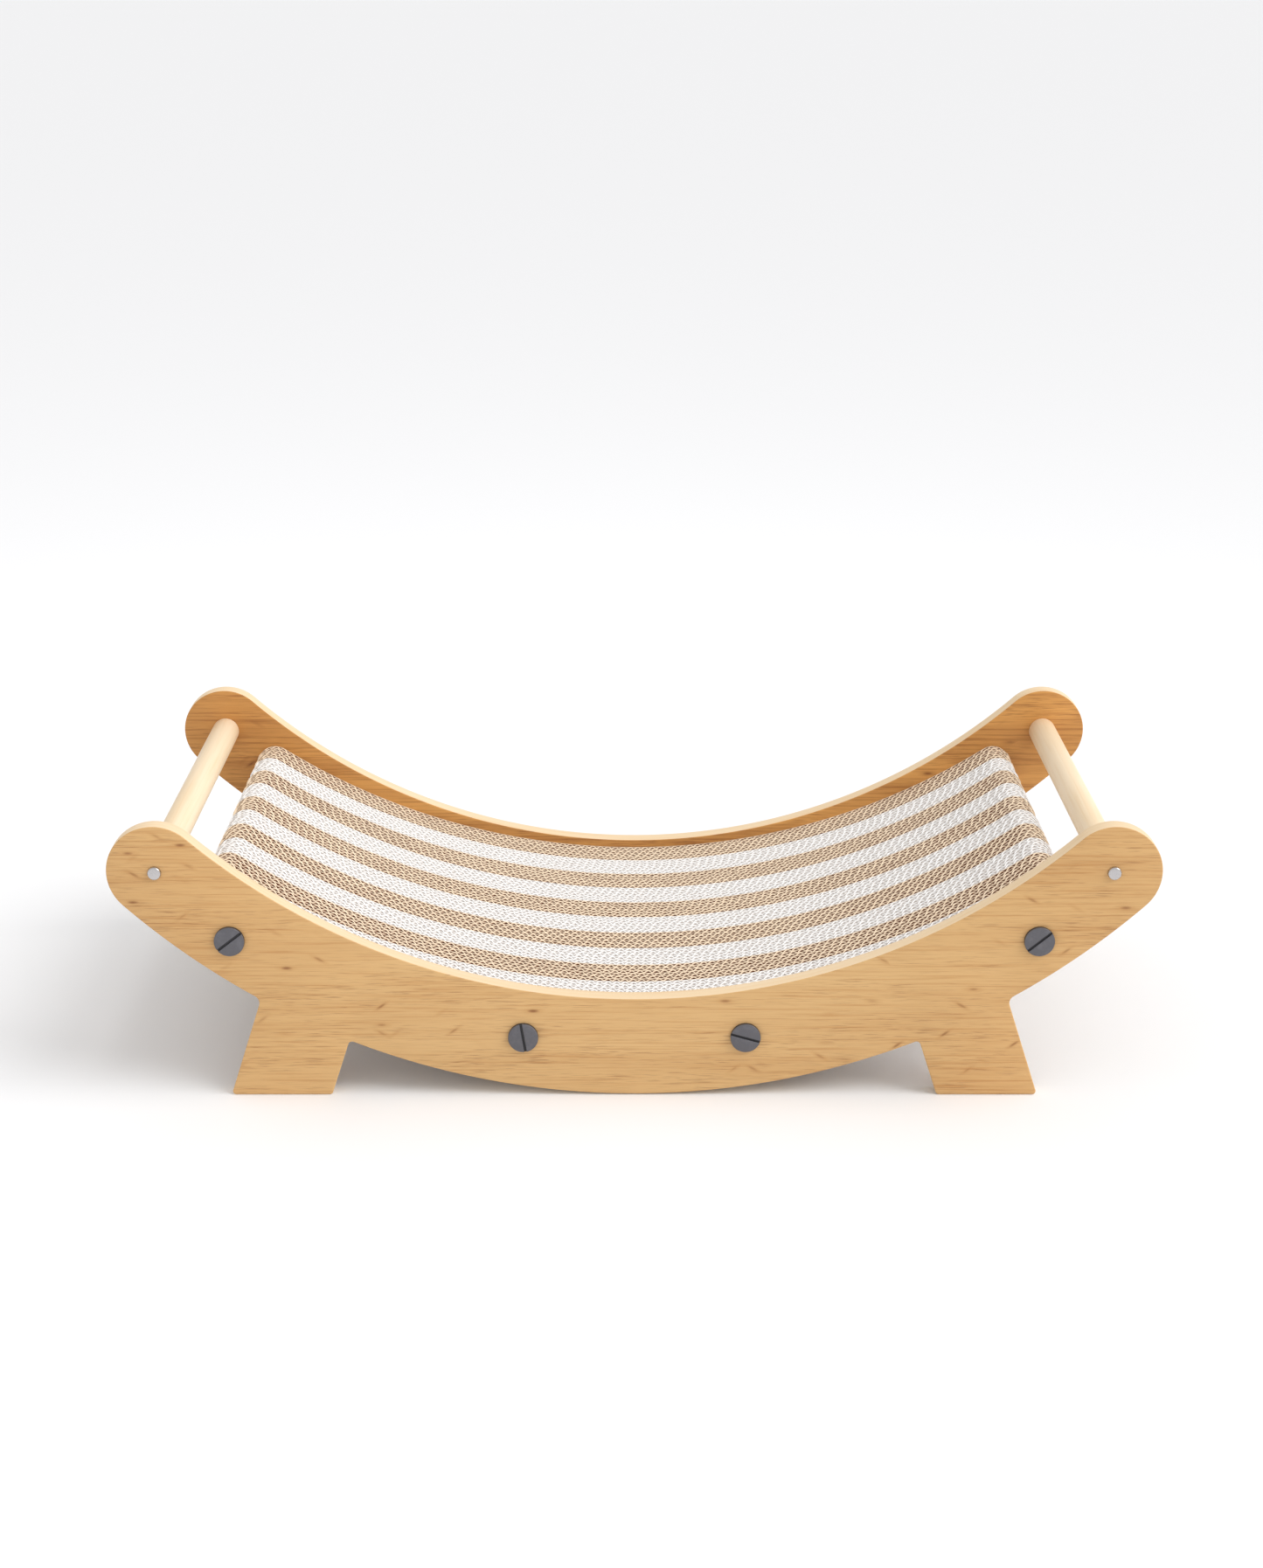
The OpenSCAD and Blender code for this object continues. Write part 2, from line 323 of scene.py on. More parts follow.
def spin_profile(bm, profile, steps):
    """Turns a profile of (radius, height) points round the Z axis into a closed solid."""
    first = bm.verts.new((profile[0][0], 0, profile[0][1]))
    tip = first
    chain = [first]
    edges = []
    for radius, height in profile[1:]:
        grown = bmesh.ops.extrude_vert_indiv(bm, verts=[tip])
        tip = grown["verts"][0]
        tip.co = (radius, 0, height)
        chain.append(tip)
        edges += grown["edges"]
    bmesh.ops.spin(bm, geom=chain + edges, cent=(0, 0, 0), axis=(0, 0, 1), dvec=(0, 0, 0),
                   angle=2 * math.pi, steps=steps, use_merge=True, use_normal_flip=False,
                   use_duplicate=False)
    bmesh.ops.remove_doubles(bm, verts=bm.verts, dist=HAIR)
    bmesh.ops.recalc_face_normals(bm, faces=bm.faces)


def across(point, face=0):
    """Places what stands along +Z at point, pointing out of the front face, or of the back face."""
    turn = math.pi / 2 if face == 0 else -math.pi / 2
    return Matrix.Translation(point) @ Matrix.Rotation(turn, 4, "X")


# ---------------------------------------------------------------------------
# Materials
# ---------------------------------------------------------------------------

class Finish:
    """A node material, built up from the pattern to the surface."""

    def __init__(self, name):
        self.material = bpy.data.materials.new(name)
        self.material.use_nodes = True
        self.tree = self.material.node_tree
        self.tree.nodes.clear()

    def add(self, kind, inputs=(), **settings):
        node = self.tree.nodes.new("ShaderNode" + kind)
        for key, value in settings.items():
            setattr(node, key, value)
        for key, value in dict(inputs).items():
            self.feed(node.inputs[key], value)
        return node

    def feed(self, socket, value):
        if isinstance(value, bpy.types.NodeSocket):
            self.tree.links.new(value, socket)
        elif socket.type == "RGBA":
            socket.default_value = (*value, 1.0)
        else:
            socket.default_value = value

    def place(self, scale, offset=(0, 0, 0), turn=None):
        """The piece's own coordinates, turned about Y, stretched and shifted."""
        vector = self.add("TexCoord").outputs["Object"]
        if turn is not None:
            vector = self.add("VectorRotate", {"Vector": vector, "Angle": turn},
                              rotation_type="Y_AXIS").outputs["Vector"]
        placed = self.add("Mapping", {"Vector": vector, "Location": offset, "Scale": scale})
        return placed.outputs["Vector"]

    def noise(self, vector, scale=1.0, detail=3.0, roughness=0.55, distortion=0.0):
        pattern = self.add("TexNoise", {"Vector": vector, "Scale": scale, "Detail": detail,
                                        "Roughness": roughness, "Distortion": distortion})
        return pattern.outputs["Fac"]

    def remap(self, value, low, high, to_low=0.0, to_high=1.0):
        """Spreads low..high of a value over to_low..to_high, smoothly, and clamps it."""
        return self.add("MapRange", {"Value": value, "From Min": low, "From Max": high,
                                     "To Min": to_low, "To Max": to_high},
                        interpolation_type="SMOOTHSTEP").outputs["Result"]

    def maths(self, operation, first, second):
        return self.add("Math", {0: first, 1: second}, operation=operation).outputs["Value"]

    def mix(self, share, first, second, blend="MIX"):
        node = self.add("Mix", {0: share, 6: first, 7: second}, data_type="RGBA", blend_type=blend)
        return node.outputs[2]

    def bump(self, height, strength, distance):
        return self.add("Bump", {"Height": height, "Strength": strength,
                                 "Distance": distance}).outputs["Normal"]

    def done(self, colour, roughness, normal=None, **sockets):
        surface = self.add("BsdfPrincipled", {"Base Color": colour, "Roughness": roughness})
        for key, value in sockets.items():
            surface.inputs[key.replace("_", " ")].default_value = value
        if normal is not None:
            self.feed(surface.inputs["Normal"], normal)
        output = self.add("OutputMaterial")
        self.tree.links.new(surface.outputs["BSDF"], output.inputs["Surface"])
        return self.material


# Patterns are stretched by a number of cells per metre along X, Y and Z. Thresholds are shares of
# a noise's range, which lies mostly between 0.3 and 0.7.

# Knots lie level or lean one of two ways. Each set has its turn about Y and the depth of its tone.
KNOT_SETS = ((0.0, 0.75), (0.62, 0.55), (-0.5, 0.40))
# The arms of a panel are a little warmer than its middle, from and to these distances from X = 0
ARM_FROM, ARM_TO = 0.10, 0.30
ARM_TONE = (0.94, 0.82, 0.68)
ARM_SHARE = 0.35
# Depth under a cut edge of the board at which the light begins to fade, and where it has faded
LIT_DEPTH, DARK_DEPTH = 0.00008, 0.0007
# Distances from the lounge, as 1 / metres, between which the floor's painted shade turns from grey
# to pale
FLOOR_FAR, FLOOR_NEAR = 0.03, 1.2


def veneer_finish(name, light, dark, knot, contrast, offset):
    """Lacquered oak veneer, its grain along X: contrast is 1 for strong grain, 0 for calm."""
    def between(calm, strong):
        return calm + (strong - calm) * contrast

    finish = Finish(name)
    bands = finish.noise(finish.place((2.4, 1, 44), offset), detail=4.0, roughness=0.6,
                         distortion=0.7)
    lines = finish.noise(finish.place((13, 1, between(820, 660)), offset), roughness=0.62,
                         distortion=0.25)
    dashes = finish.noise(finish.place((60, 1, 1700), offset), detail=2.0)
    clusters = finish.noise(finish.place((9, 1, 70), offset), detail=2.0)
    grain = finish.maths("ADD", finish.remap(bands, 0.36, 0.70, to_high=between(0.26, 0.40)),
                         finish.remap(lines, 0.47, 0.70, to_high=between(0.50, 0.46)))
    tint = finish.mix(grain, light, dark)
    along = finish.add("SeparateXYZ", {"Vector": finish.place((1, 1, 1))}).outputs["X"]
    arms = finish.remap(finish.maths("ABSOLUTE", along, 0.0), ARM_FROM, ARM_TO, to_high=ARM_SHARE)
    tint = finish.mix(arms, tint, ARM_TONE, "MULTIPLY")
    dash = finish.maths("MULTIPLY", finish.remap(dashes, 0.52, 0.70),
                        finish.remap(clusters, 0.38, 0.66, 0.12, between(0.50, 0.66)))
    tint = finish.mix(dash, tint, knot)
    for turn, depth in KNOT_SETS:
        stretch = (34, 1, 105 + 50 * abs(turn))
        cells = finish.add("TexVoronoi", {"Vector": finish.place(stretch, offset, turn),
                                          "Scale": 1.0, "Randomness": 1.0}, feature="F1")
        pick = finish.add("SeparateColor", {"Color": cells.outputs["Color"]}).outputs["Red"]
        away = cells.outputs["Distance"]
        core = finish.maths("MULTIPLY", finish.remap(away, 0.03, 0.15, 1.0, 0.0),
                            finish.remap(pick, 0.80, 0.86, to_high=depth))
        halo = finish.maths("MULTIPLY", finish.remap(away, 0.05, 0.30, 1.0, 0.0),
                            finish.remap(pick, 0.76, 0.86, to_high=0.40))
        tint = finish.mix(halo, tint, dark)
        tint = finish.mix(core, tint, knot)
    relief = finish.maths("SUBTRACT", finish.maths("MULTIPLY", lines, 0.6),
                          finish.remap(dashes, 0.52, 0.72))
    lacquer = finish.noise(finish.place((1, 1, 1), offset), scale=40.0)
    sheen = finish.remap(lacquer, 0.3, 0.7, 0.42, 0.52)
    pores = finish.bump(relief, strength=0.20, distance=0.0003)
    return finish.done(tint, sheen, pores, Specular_IOR_Level=0.35)


def panel_edge_finish(colours):
    """Sanded edge of the panel: pale plies that run round it, with fine grain along X."""
    finish = Finish("panel_edge")
    plies = finish.add("TexWave", {"Vector": finish.place((1, 1, 1)), "Scale": 66.0,
                                   "Distortion": 0.6, "Detail": 1.0},
                       wave_type="BANDS", bands_direction="Y").outputs["Fac"]
    lines = finish.noise(finish.place((14, 420, 60)))
    blotch = finish.noise(finish.place((12, 40, 12)), detail=2.0)
    share = finish.maths("ADD", finish.remap(plies, 0.1, 0.9, to_high=0.16),
                         finish.remap(lines, 0.45, 0.75, to_high=0.45))
    tint = finish.mix(share, colours.edge, colours.edge_dark)
    tint = finish.mix(finish.remap(blotch, 0.3, 0.8, to_high=0.25), tint, colours.bar)
    grain = finish.bump(lines, strength=0.12, distance=0.0003)
    return finish.done(tint, 0.55, grain, Specular_IOR_Level=0.3)


def turned_finish(name, colours):
    """Pale turned wood, its grain along Y."""
    finish = Finish(name)
    bands = finish.noise(finish.place((130, 5, 130)), roughness=0.6, distortion=0.5)
    lines = finish.noise(finish.place((620, 12, 620)), detail=2.0)
    share = finish.maths("ADD", finish.remap(bands, 0.36, 0.72, to_high=0.55),
                         finish.remap(lines, 0.5, 0.75, to_high=0.30))
    tint = finish.mix(share, colours.bar, colours.bar_dark)
    grain = finish.bump(lines, strength=0.10, distance=0.0003)
    return finish.done(tint, 0.45, grain, Specular_IOR_Level=0.35)


def board_finish(name, paper, shaded):
    """Paper of the corrugated board: pale cut edges, painted shade that is darker and warmer in the
    flutes.
    """
    finish = Finish(name)
    stored = finish.add("Attribute", attribute_name="reach").outputs["Vector"]
    reach = finish.add("SeparateXYZ", {"Vector": stored}).outputs
    depth = finish.maths("MINIMUM", finish.maths("MINIMUM", reach["X"], reach["Y"]), reach["Z"])
    fibre = finish.noise(finish.place((700, 700, 700)))
    patch = finish.noise(finish.place((26, 90, 26)))
    # Painted shade: the paper turns to its flute colour with depth under the cut edges
    tint = finish.mix(finish.remap(depth, LIT_DEPTH, DARK_DEPTH), paper, shaded)
    tint = finish.mix(finish.remap(patch, 0.35, 0.75, to_high=0.12), tint, shaded)
    tint = finish.mix(finish.remap(fibre, 0.4, 0.8, to_high=0.09), tint, shaded)
    fuzz = finish.bump(fibre, strength=0.25, distance=0.0003)
    return finish.done(tint, 0.85, fuzz, Specular_IOR_Level=0.15)


def screw_finish(colours, trim):
    """Slate powder coat: a fine orange-peel skin, a little lighter where it is worn, painted shade
    in the slot.
    """
    finish = Finish("slate_coat")
    peel = finish.noise(finish.place((1, 1, 1)), scale=1600.0, detail=2.0)
    wear = finish.noise(finish.place((1, 1, 1)), scale=260.0, detail=4.0)
    base = Vector(colours.screw)
    worn, unlit = base * 1.45, base * 0.12
    tint = finish.mix(finish.remap(wear, 0.45, 0.75, to_high=0.5), tuple(base), tuple(worn))
    # Painted shade in the slot: the coat turns nearly black towards the slot's floor
    out = finish.add("SeparateXYZ", {"Vector": finish.place((1, 1, 1))}).outputs["Y"]
    slot_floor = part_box("side_panel_back")[1].y + trim.head_height - trim.slot_depth
    slot_mouth = slot_floor + trim.slot_depth * 2 / 3
    slot = finish.remap(finish.maths("ABSOLUTE", out, 0.0), slot_floor, slot_mouth, 0.85, 0.0)
    tint = finish.mix(slot, tint, tuple(unlit))
    rough = finish.remap(wear, 0.3, 0.7, 0.36, 0.50)
    skin = finish.bump(peel, strength=0.25, distance=0.0002)
    return finish.done(tint, rough, skin, Metallic=0.25)


def metal_finish(name, colour, rough):
    """Turned metal with fine rings from the lathe."""
    finish = Finish(name)
    rings = finish.noise(finish.place((900, 120, 900)), detail=2.0)
    stain = finish.noise(finish.place((1, 1, 1)), scale=320.0)
    base = Vector(colour)
    stained = base * 0.86
    tint = finish.mix(finish.remap(stain, 0.35, 0.75, to_high=0.4), tuple(base), tuple(stained))
    gloss = finish.remap(rings, 0.3, 0.7, rough - 0.05, rough + 0.07)
    turning = finish.bump(rings, strength=0.15, distance=0.0002)
    return finish.done(tint, gloss, turning, Metallic=1.0)


def floor_finish(colours):
    """Matt studio floor, with painted shade that makes it a little greyer in the distance."""
    finish = Finish("studio_floor")
    away = finish.add("VectorMath", {0: finish.place((1, 1, 1))}, operation="LENGTH")
    nearness = finish.maths("DIVIDE", 1.0, away.outputs["Value"])
    near = finish.remap(nearness, FLOOR_FAR, FLOOR_NEAR)
    tint = finish.mix(near, tuple(colours.distant_floor_shade), tuple(colours.floor))
    return finish.done(tint, 0.9, Specular_IOR_Level=0.1)


# ---------------------------------------------------------------------------
# Operators: one for each group of like pieces, and one for the stage
# ---------------------------------------------------------------------------

class LOUNGE_OT_side_panels(bpy.types.Operator):
    """Make both side panels from one outline, with bores and rounded edges"""
    bl_idname = "lounge.side_panels"
    bl_label = "Side panels"

    def execute(self, context):
        sizes = context.scene.lounge_panel
        colours = context.scene.lounge_colours
        trim = context.scene.lounge_trim
        outer = veneer_finish("oak_veneer_outer", colours.veneer, colours.veneer_dark,
                              colours.knot, contrast=0.0, offset=(3, 0, 1))
        # Painted shade: the inner faces get a darker, warmer copy of the veneer
        inner = veneer_finish("oak_veneer_inner_shaded", colours.inner, colours.shaded_inner_grain,
                              colours.knot, contrast=1.0, offset=(17, 0, 4))
        edge = panel_edge_finish(colours)
        for face in FACES:
            bm = bmesh.new()
            self.outline(bm, sizes, trim)
            self.thicken(bm, sizes, "side_panel_" + face)
            self.paint(bm, face)
            finish_piece(bm, "panel_" + face, "cradle", ["side_panel_" + face],
                         [outer, inner, edge], crisp=PANEL_CRISP)
        return {"FINISHED"}

    def bores(self, trim):
        """Centre and radius of each bore, on the front panel's plane."""
        pin = span("bar_pin_front_left").x / 2 + trim.press_gap
        for side in SIDES:
            yield middle("grip_bar_" + side), pin
        for spot in SPOTS:
            yield middle("rail_" + spot), trim.shank_radius + trim.hole_gap

    def outline(self, bm, sizes, trim):
        draw_half_outline(bm, sizes)
        bmesh.ops.mirror(bm, geom=bm.verts[:] + bm.edges[:], matrix=Matrix.Identity(4),
                         merge_dist=10 * HAIR, axis="X")
        bmesh.ops.remove_doubles(bm, verts=bm.verts, dist=HAIR)
        for centre, radius in self.bores(trim):
            bmesh.ops.create_circle(bm, cap_ends=False, radius=radius, segments=BORE_SEGMENTS,
                                    matrix=across(Vector((centre.x, 0, centre.z))))
        bmesh.ops.triangle_fill(bm, use_beauty=True, use_dissolve=False, edges=bm.edges[:],
                                normal=(0, -1, 0))

    def thicken(self, bm, sizes, node):
        low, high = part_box(node)
        grown = bmesh.ops.extrude_face_region(bm, geom=bm.faces[:])
        moved = [item for item in grown["geom"] if isinstance(item, bmesh.types.BMVert)]
        bmesh.ops.translate(bm, verts=moved, vec=(0, high.y - low.y, 0))
        bmesh.ops.translate(bm, verts=bm.verts, vec=(0, low.y, 0))
        bmesh.ops.recalc_face_normals(bm, faces=bm.faces)
        bore = span("rail_lower_left").x
        centres = [middle("rail_" + spot) for spot in SPOTS]
        centres += [middle("grip_bar_" + side) for side in SIDES]
        rim = [edge for edge in bm.edges if self.is_rim(edge, centres, bore / 2)]
        bmesh.ops.bevel(bm, geom=rim, offset=sizes.edge_radius, offset_type="OFFSET",
                        segments=EDGE_SEGMENTS, profile=0.5, affect="EDGES", material=-1,
                        clamp_overlap=False)

    # A face whose normal has more than this along Y is one of the panel's broad faces
    FLAT = 0.9
    # After the edges are rounded, a face with more than this belongs to the veneer
    VENEERED = 0.6

    def is_rim(self, edge, centres, reach):
        """True for an edge between a broad face and the panel's outer edge, away from the bores."""
        flats = [abs(face.normal.y) > self.FLAT for face in edge.link_faces]
        if len(flats) != 2 or flats[0] == flats[1]:
            return False
        spot = edge.verts[0].co
        return all(math.hypot(spot.x - c.x, spot.z - c.z) > reach for c in centres)

    def paint(self, bm, face):
        outward = -1 if face == "front" else 1
        for item in bm.faces:
            side = item.normal.y * outward
            item.material_index = 0 if side > self.VENEERED else 1 if side < -self.VENEERED else 2


class LOUNGE_OT_grip_bars(bpy.types.Operator):
    """Turn the two grip bars, bored for their pins"""
    bl_idname = "lounge.grip_bars"
    bl_label = "Grip bars"

    def execute(self, context):
        trim = context.scene.lounge_trim
        finish = turned_finish("turned_bar", context.scene.lounge_colours)
        for side in SIDES:
            bore = span("bar_pin_front_" + side).x / 2 + trim.press_gap
            make_bar("grip_bar_" + side, bore, trim.bore_depth, finish, trim)
        return {"FINISHED"}


class LOUNGE_OT_cross_rails(bpy.types.Operator):
    """Turn the four cross rails, bored for their inserts, and finish the brass inserts"""
    bl_idname = "lounge.cross_rails"
    bl_label = "Cross rails"

    def execute(self, context):
        trim = context.scene.lounge_trim
        colours = context.scene.lounge_colours
        finish = turned_finish("turned_rail", colours)
        brass = metal_finish("insert_brass", colours.brass, 0.32)
        for spot in SPOTS:
            bore = span("insert_front_" + spot).x / 2 + trim.press_gap
            make_bar("rail_" + spot, bore, trim.rail_bore_depth, finish, trim)
            for face in FACES:
                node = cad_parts[f"insert_{face}_{spot}"]
                node.data.materials.clear()
                node.data.materials.append(brass)
        return {"FINISHED"}


def make_bar(node, bore, depth, finish, trim):
    """A turned bar along Y in the place of a frame node, with a blind bore in each end."""
    size = span(node)
    radius, half, cut = size.x / 2, size.y / 2, trim.bar_chamfer
    eased = cut * 0.3
    top = [(0, half - depth), (bore, half - depth), (bore, half), (radius - cut, half),
           (radius - eased, half - eased), (radius, half - cut)]
    profile = top + [(r, -h) for r, h in reversed(top)]
    bm = bmesh.new()
    spin_profile(bm, profile, trim.round_steps)
    bmesh.ops.transform(bm, matrix=across(middle(node)), verts=bm.verts)
    return finish_piece(bm, node + "_turned", "cradle", [node], [finish])


class LOUNGE_OT_bar_pins(bpy.types.Operator):
    """Make the steel pins of the grip bars"""
    bl_idname = "lounge.bar_pins"
    bl_label = "Bar pins"

    # Angles at which the rounding of a pin's end gets a point
    ROUNDING = (0, 22.5, 45, 67.5, 90)

    def execute(self, context):
        trim = context.scene.lounge_trim
        steel = metal_finish("pin_steel", context.scene.lounge_colours.steel, 0.26)
        for index, face in enumerate(FACES):
            for side in SIDES:
                node = f"bar_pin_{face}_{side}"
                size = span(node)
                radius, half, edge = size.x / 2, size.y / 2, trim.pin_edge
                turns = [math.radians(angle) for angle in self.ROUNDING]
                end = [(radius - edge + edge * math.sin(turn), half - edge + edge * math.cos(turn))
                       for turn in turns]
                profile = [(0, half)] + end + [(radius, -half), (0, -half)]
                bm = bmesh.new()
                spin_profile(bm, profile, trim.round_steps)
                bmesh.ops.transform(bm, matrix=across(middle(node), index), verts=bm.verts)
                finish_piece(bm, node + "_turned", "cradle", [node], [steel])
        return {"FINISHED"}


class LOUNGE_OT_screws(bpy.types.Operator):
    """Make the eight slotted screws"""
    bl_idname = "lounge.screws"
    bl_label = "Slotted screws"

    # Turn of each slot as the coin left it, front and back, from left to right
    SLOT_TURNS = ((38, 99, -16, 40), (12, -52, 71, -30))

    def execute(self, context):
        trim = context.scene.lounge_trim
        coat = screw_finish(context.scene.lounge_colours, trim)
        for index, face in enumerate(FACES):
            for turn, spot in zip(self.SLOT_TURNS[index], SPOTS):
                node = f"screw_{face}_{spot}"
                low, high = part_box(node)
                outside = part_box("side_panel_" + face)[index].y
                bm = bmesh.new()
                self.head(bm, (high.x - low.x) / 2, trim)
                self.shank(bm, (high.y - low.y) - trim.head_height, trim)
                centre = middle(node)
                place = across(Vector((centre.x, outside, centre.z)), index)
                turned = Matrix.Rotation(math.radians(turn if index == 0 else -turn), 4, "Z")
                bmesh.ops.transform(bm, matrix=place @ turned, verts=bm.verts)
                finish_piece(bm, node + "_slotted", "cradle", [node], [coat])
        return {"FINISHED"}

    def head(self, bm, radius, trim):
        """Two half moons that stand on a round base, with the slot between them."""
        floor = trim.head_height - trim.slot_depth
        # Half a step of turn keeps the circle's points away from the slot's corners
        half_step = Matrix.Rotation(math.pi / trim.round_steps, 4, "Z")
        bmesh.ops.create_circle(bm, cap_ends=True, radius=radius, segments=trim.round_steps,
                                matrix=Matrix.Translation((0, 0, floor)) @ half_step)
        for side in (-1, 1):
            bmesh.ops.bisect_plane(bm, geom=bm.verts[:] + bm.edges[:] + bm.faces[:],
                                   dist=HAIR / 10, plane_no=(0, 1, 0),
                                   plane_co=(0, side * trim.slot_width / 2, 0))
        rim = [edge for edge in bm.edges if edge.is_boundary]
        moons = [face for face in bm.faces
                 if abs(face.calc_center_median().y) > trim.slot_width / 2]
        raised = bmesh.ops.extrude_face_region(bm, geom=moons)
        tops = [item for item in raised["geom"] if isinstance(item, bmesh.types.BMVert)]
        bmesh.ops.translate(bm, verts=tops, vec=(0, 0, trim.slot_depth))
        bmesh.ops.delete(bm, geom=[face for face in moons if face.is_valid],
                         context="FACES_KEEP_BOUNDARY")
        sunk = bmesh.ops.extrude_edge_only(bm, edges=rim)
        feet = [item for item in sunk["geom"] if isinstance(item, bmesh.types.BMVert)]
        bmesh.ops.translate(bm, verts=feet, vec=(0, 0, -floor))
        bmesh.ops.contextual_create(bm, geom=[item for item in sunk["geom"]
                                              if isinstance(item, bmesh.types.BMEdge)
                                              and all(v.co.z < floor / 2 for v in item.verts)])
        bmesh.ops.recalc_face_normals(bm, faces=bm.faces)
        lips = [edge for edge in bm.edges
                if all(v.co.z > trim.head_height - HAIR for v in edge.verts)]
        bmesh.ops.bevel(bm, geom=lips, offset=trim.head_edge, offset_type="OFFSET",
                        segments=EDGE_SEGMENTS, profile=0.5, affect="EDGES", material=-1,
                        clamp_overlap=True)

    def shank(self, bm, reach, trim):
        bmesh.ops.create_cone(bm, cap_ends=True, segments=SHANK_SEGMENTS, radius1=trim.shank_radius,
                              radius2=trim.shank_radius, depth=reach,
                              matrix=Matrix.Translation((0, 0, -reach / 2)))


class LOUNGE_OT_pad(bpy.types.Operator):
    """Build the pad's strips from upright sheets of corrugated board"""
    bl_idname = "lounge.pad"
    bl_label = "Corrugated pad"

    # Unevenness of the board. A pitch is a number of noise cells per metre along X.
    # How deep the cut edge is ragged, as a share of the paper
    CUT, CUT_PITCH = 0.45, 160
    # Angles in radians: how far apart the waves of two sheets start, and how far a wave drifts
    START = 12
    DRIFT, DRIFT_PITCH = 0.9, 22
    # How much lower than full height a wave is, as a share
    SWELL, SWELL_PITCH = 0.10, 45
    # Where the sheets get an edge at a groove: round its arc, in degrees, and just outside its lip
    GROOVE_ANGLES = (0, 30, 60, 80)
    LIP_GAPS = (0, 1e-4)

    def execute(self, context):
        sizes = context.scene.lounge_pad
        colours = context.scene.lounge_colours
        kraft = board_finish("kraft_board", colours.kraft, colours.kraft_flute_shade)
        white = board_finish("white_board", colours.white, colours.white_flute_shade)
        self.measure(sizes)
        for index, strip in enumerate(STRIPS):
            is_white = index % 2 == 0
            bm = bmesh.new()
            self.strip(bm, sizes, strip, index)
            self.mark_reach(bm)
            slot, finish = ("board_white", white) if is_white else ("board_kraft", kraft)
            finish_piece(bm, strip + "_board", "pad", [strip], [finish], crisp=BOARD_CRISP)
        return {"FINISHED"}

    def measure(self, sizes):
        """Works the pad's side view out from its box in the frame."""
        low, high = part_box(STRIPS[0])
        self.end = high.x
        self.low_top = low.z + sizes.thickness
        self.corner = Vector((high.x - sizes.corner_radius, high.z - sizes.corner_radius))
        self.corner_radius = sizes.corner_radius
        self.top_radius = hollow_radius(self.corner.x, self.corner.y, sizes.corner_radius,
                                        self.low_top)
        self.centre_z = self.low_top + self.top_radius
        self.under_radius = self.top_radius + sizes.thickness
        direction = (self.corner - Vector((0, self.centre_z))).normalized()
        self.meet_x = direction.x * self.top_radius
        self.grooves = [(middle("rail_" + spot).x, middle("rail_" + spot).z,
                         span("rail_" + spot).x / 2 + sizes.groove_gap) for spot in SPOTS]

    def top(self, x):
        """Height of the pad's top at x: the seat arc, then the rounded corner."""
        x = min(abs(x), self.end)
        if x <= self.meet_x:
            return self.centre_z - math.sqrt(self.top_radius ** 2 - x * x)
        across_corner = max(self.corner_radius ** 2 - (x - self.corner.x) ** 2, 0.0)
        return self.corner.y + math.sqrt(across_corner)

    def under(self, x):
        """Height of the pad's underside at x, with a groove over each rail."""
        height = self.centre_z - math.sqrt(self.under_radius ** 2 - x * x)
        for groove_x, groove_z, radius in self.grooves:
            if abs(x - groove_x) <= radius:
                roof = groove_z + math.sqrt(radius ** 2 - (x - groove_x) ** 2)
                height = max(height, roof)
        return height

    def stations(self, spacing):
        """Places along X where the sheets get an edge: closer where the outline turns."""
        flat = self.corner.x
        count = math.ceil(2 * flat / spacing)
        places = [-flat + 2 * flat * k / count for k in range(count + 1)]
        turns = max(8, math.ceil(self.corner_radius * math.pi / 2 / spacing))
        for k in range(1, turns + 1):
            x = flat + self.corner_radius * math.sin(math.pi / 2 * k / turns)
            places += [x, -x]
        for groove_x, _, radius in self.grooves:
            for side in (-1, 1):
                places += [groove_x + side * radius * (1 + gap) for gap in self.LIP_GAPS]
                places += [groove_x + side * radius * math.sin(math.radians(angle))
                           for angle in self.GROOVE_ANGLES]
        return sorted(set(round(x, 7) for x in places))

    def sheet(self, bm, places, bend, paper, seed):
        """One upright sheet: a grid along the pad, bent by the function bend and thickened."""
        count = len(places) - 1
        grid = bmesh.ops.create_grid(bm, x_segments=count, y_segments=1, size=0.5)["verts"]
        for vert in grid:
            x = places[round((vert.co.x + 0.5) * count)]
            rough = noise.noise(Vector((x * self.CUT_PITCH, seed * 3.7, 0.5))) * paper * self.CUT
            height = self.top(x) + min(rough, 0.0) if vert.co.y > 0 else self.under(x)
            vert.co = (x, bend(x) - paper / 2, height)
        faces = list({face for vert in grid for face in vert.link_faces})
        bm.normal_update()
        if faces[0].normal.y > 0:
            bmesh.ops.reverse_faces(bm, faces=faces)
        bmesh.ops.solidify(bm, geom=faces, thickness=paper)

    def strip(self, bm, sizes, node, index):
        low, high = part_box(node)
        layer = (high.y - low.y) / sizes.layers
        fine = self.stations(sizes.flute / sizes.flute_steps)
        coarse = self.stations(sizes.flute)
        reach = layer / 2 - sizes.paper
        outer = sizes.paper / 2
        for k in range(sizes.layers + 1):
            inward = outer / 2 if k == 0 else -outer / 2 if k == sizes.layers else 0
            y = low.y + k * layer + inward
            thick = outer if inward else sizes.paper
            self.sheet(bm, coarse, lambda x, y=y: y, thick, index * 31 + k)
        for k in range(sizes.layers):
            bend = self.wave(low.y + (k + 0.5) * layer, reach, sizes, index * 17 + k)
            self.sheet(bm, fine, bend, sizes.paper, index * 57 + k)

    def wave(self, y, reach, sizes, seed):
        """The fluted sheet's bend, with its own start and small drifts in pitch and height."""
        start = noise.noise(Vector((seed * 1.37, 4.2, 7.9))) * self.START

        def bend(x):
            drift = noise.noise(Vector((x * self.DRIFT_PITCH, seed * 2.3, 1.7))) * self.DRIFT
            loose = noise.noise(Vector((x * self.SWELL_PITCH, seed * 5.1, 3.3)))
            swell = 1 - self.SWELL + self.SWELL * loose
            return y + reach * swell * math.sin(2 * math.pi * x / sizes.flute + start + drift)
        return bend

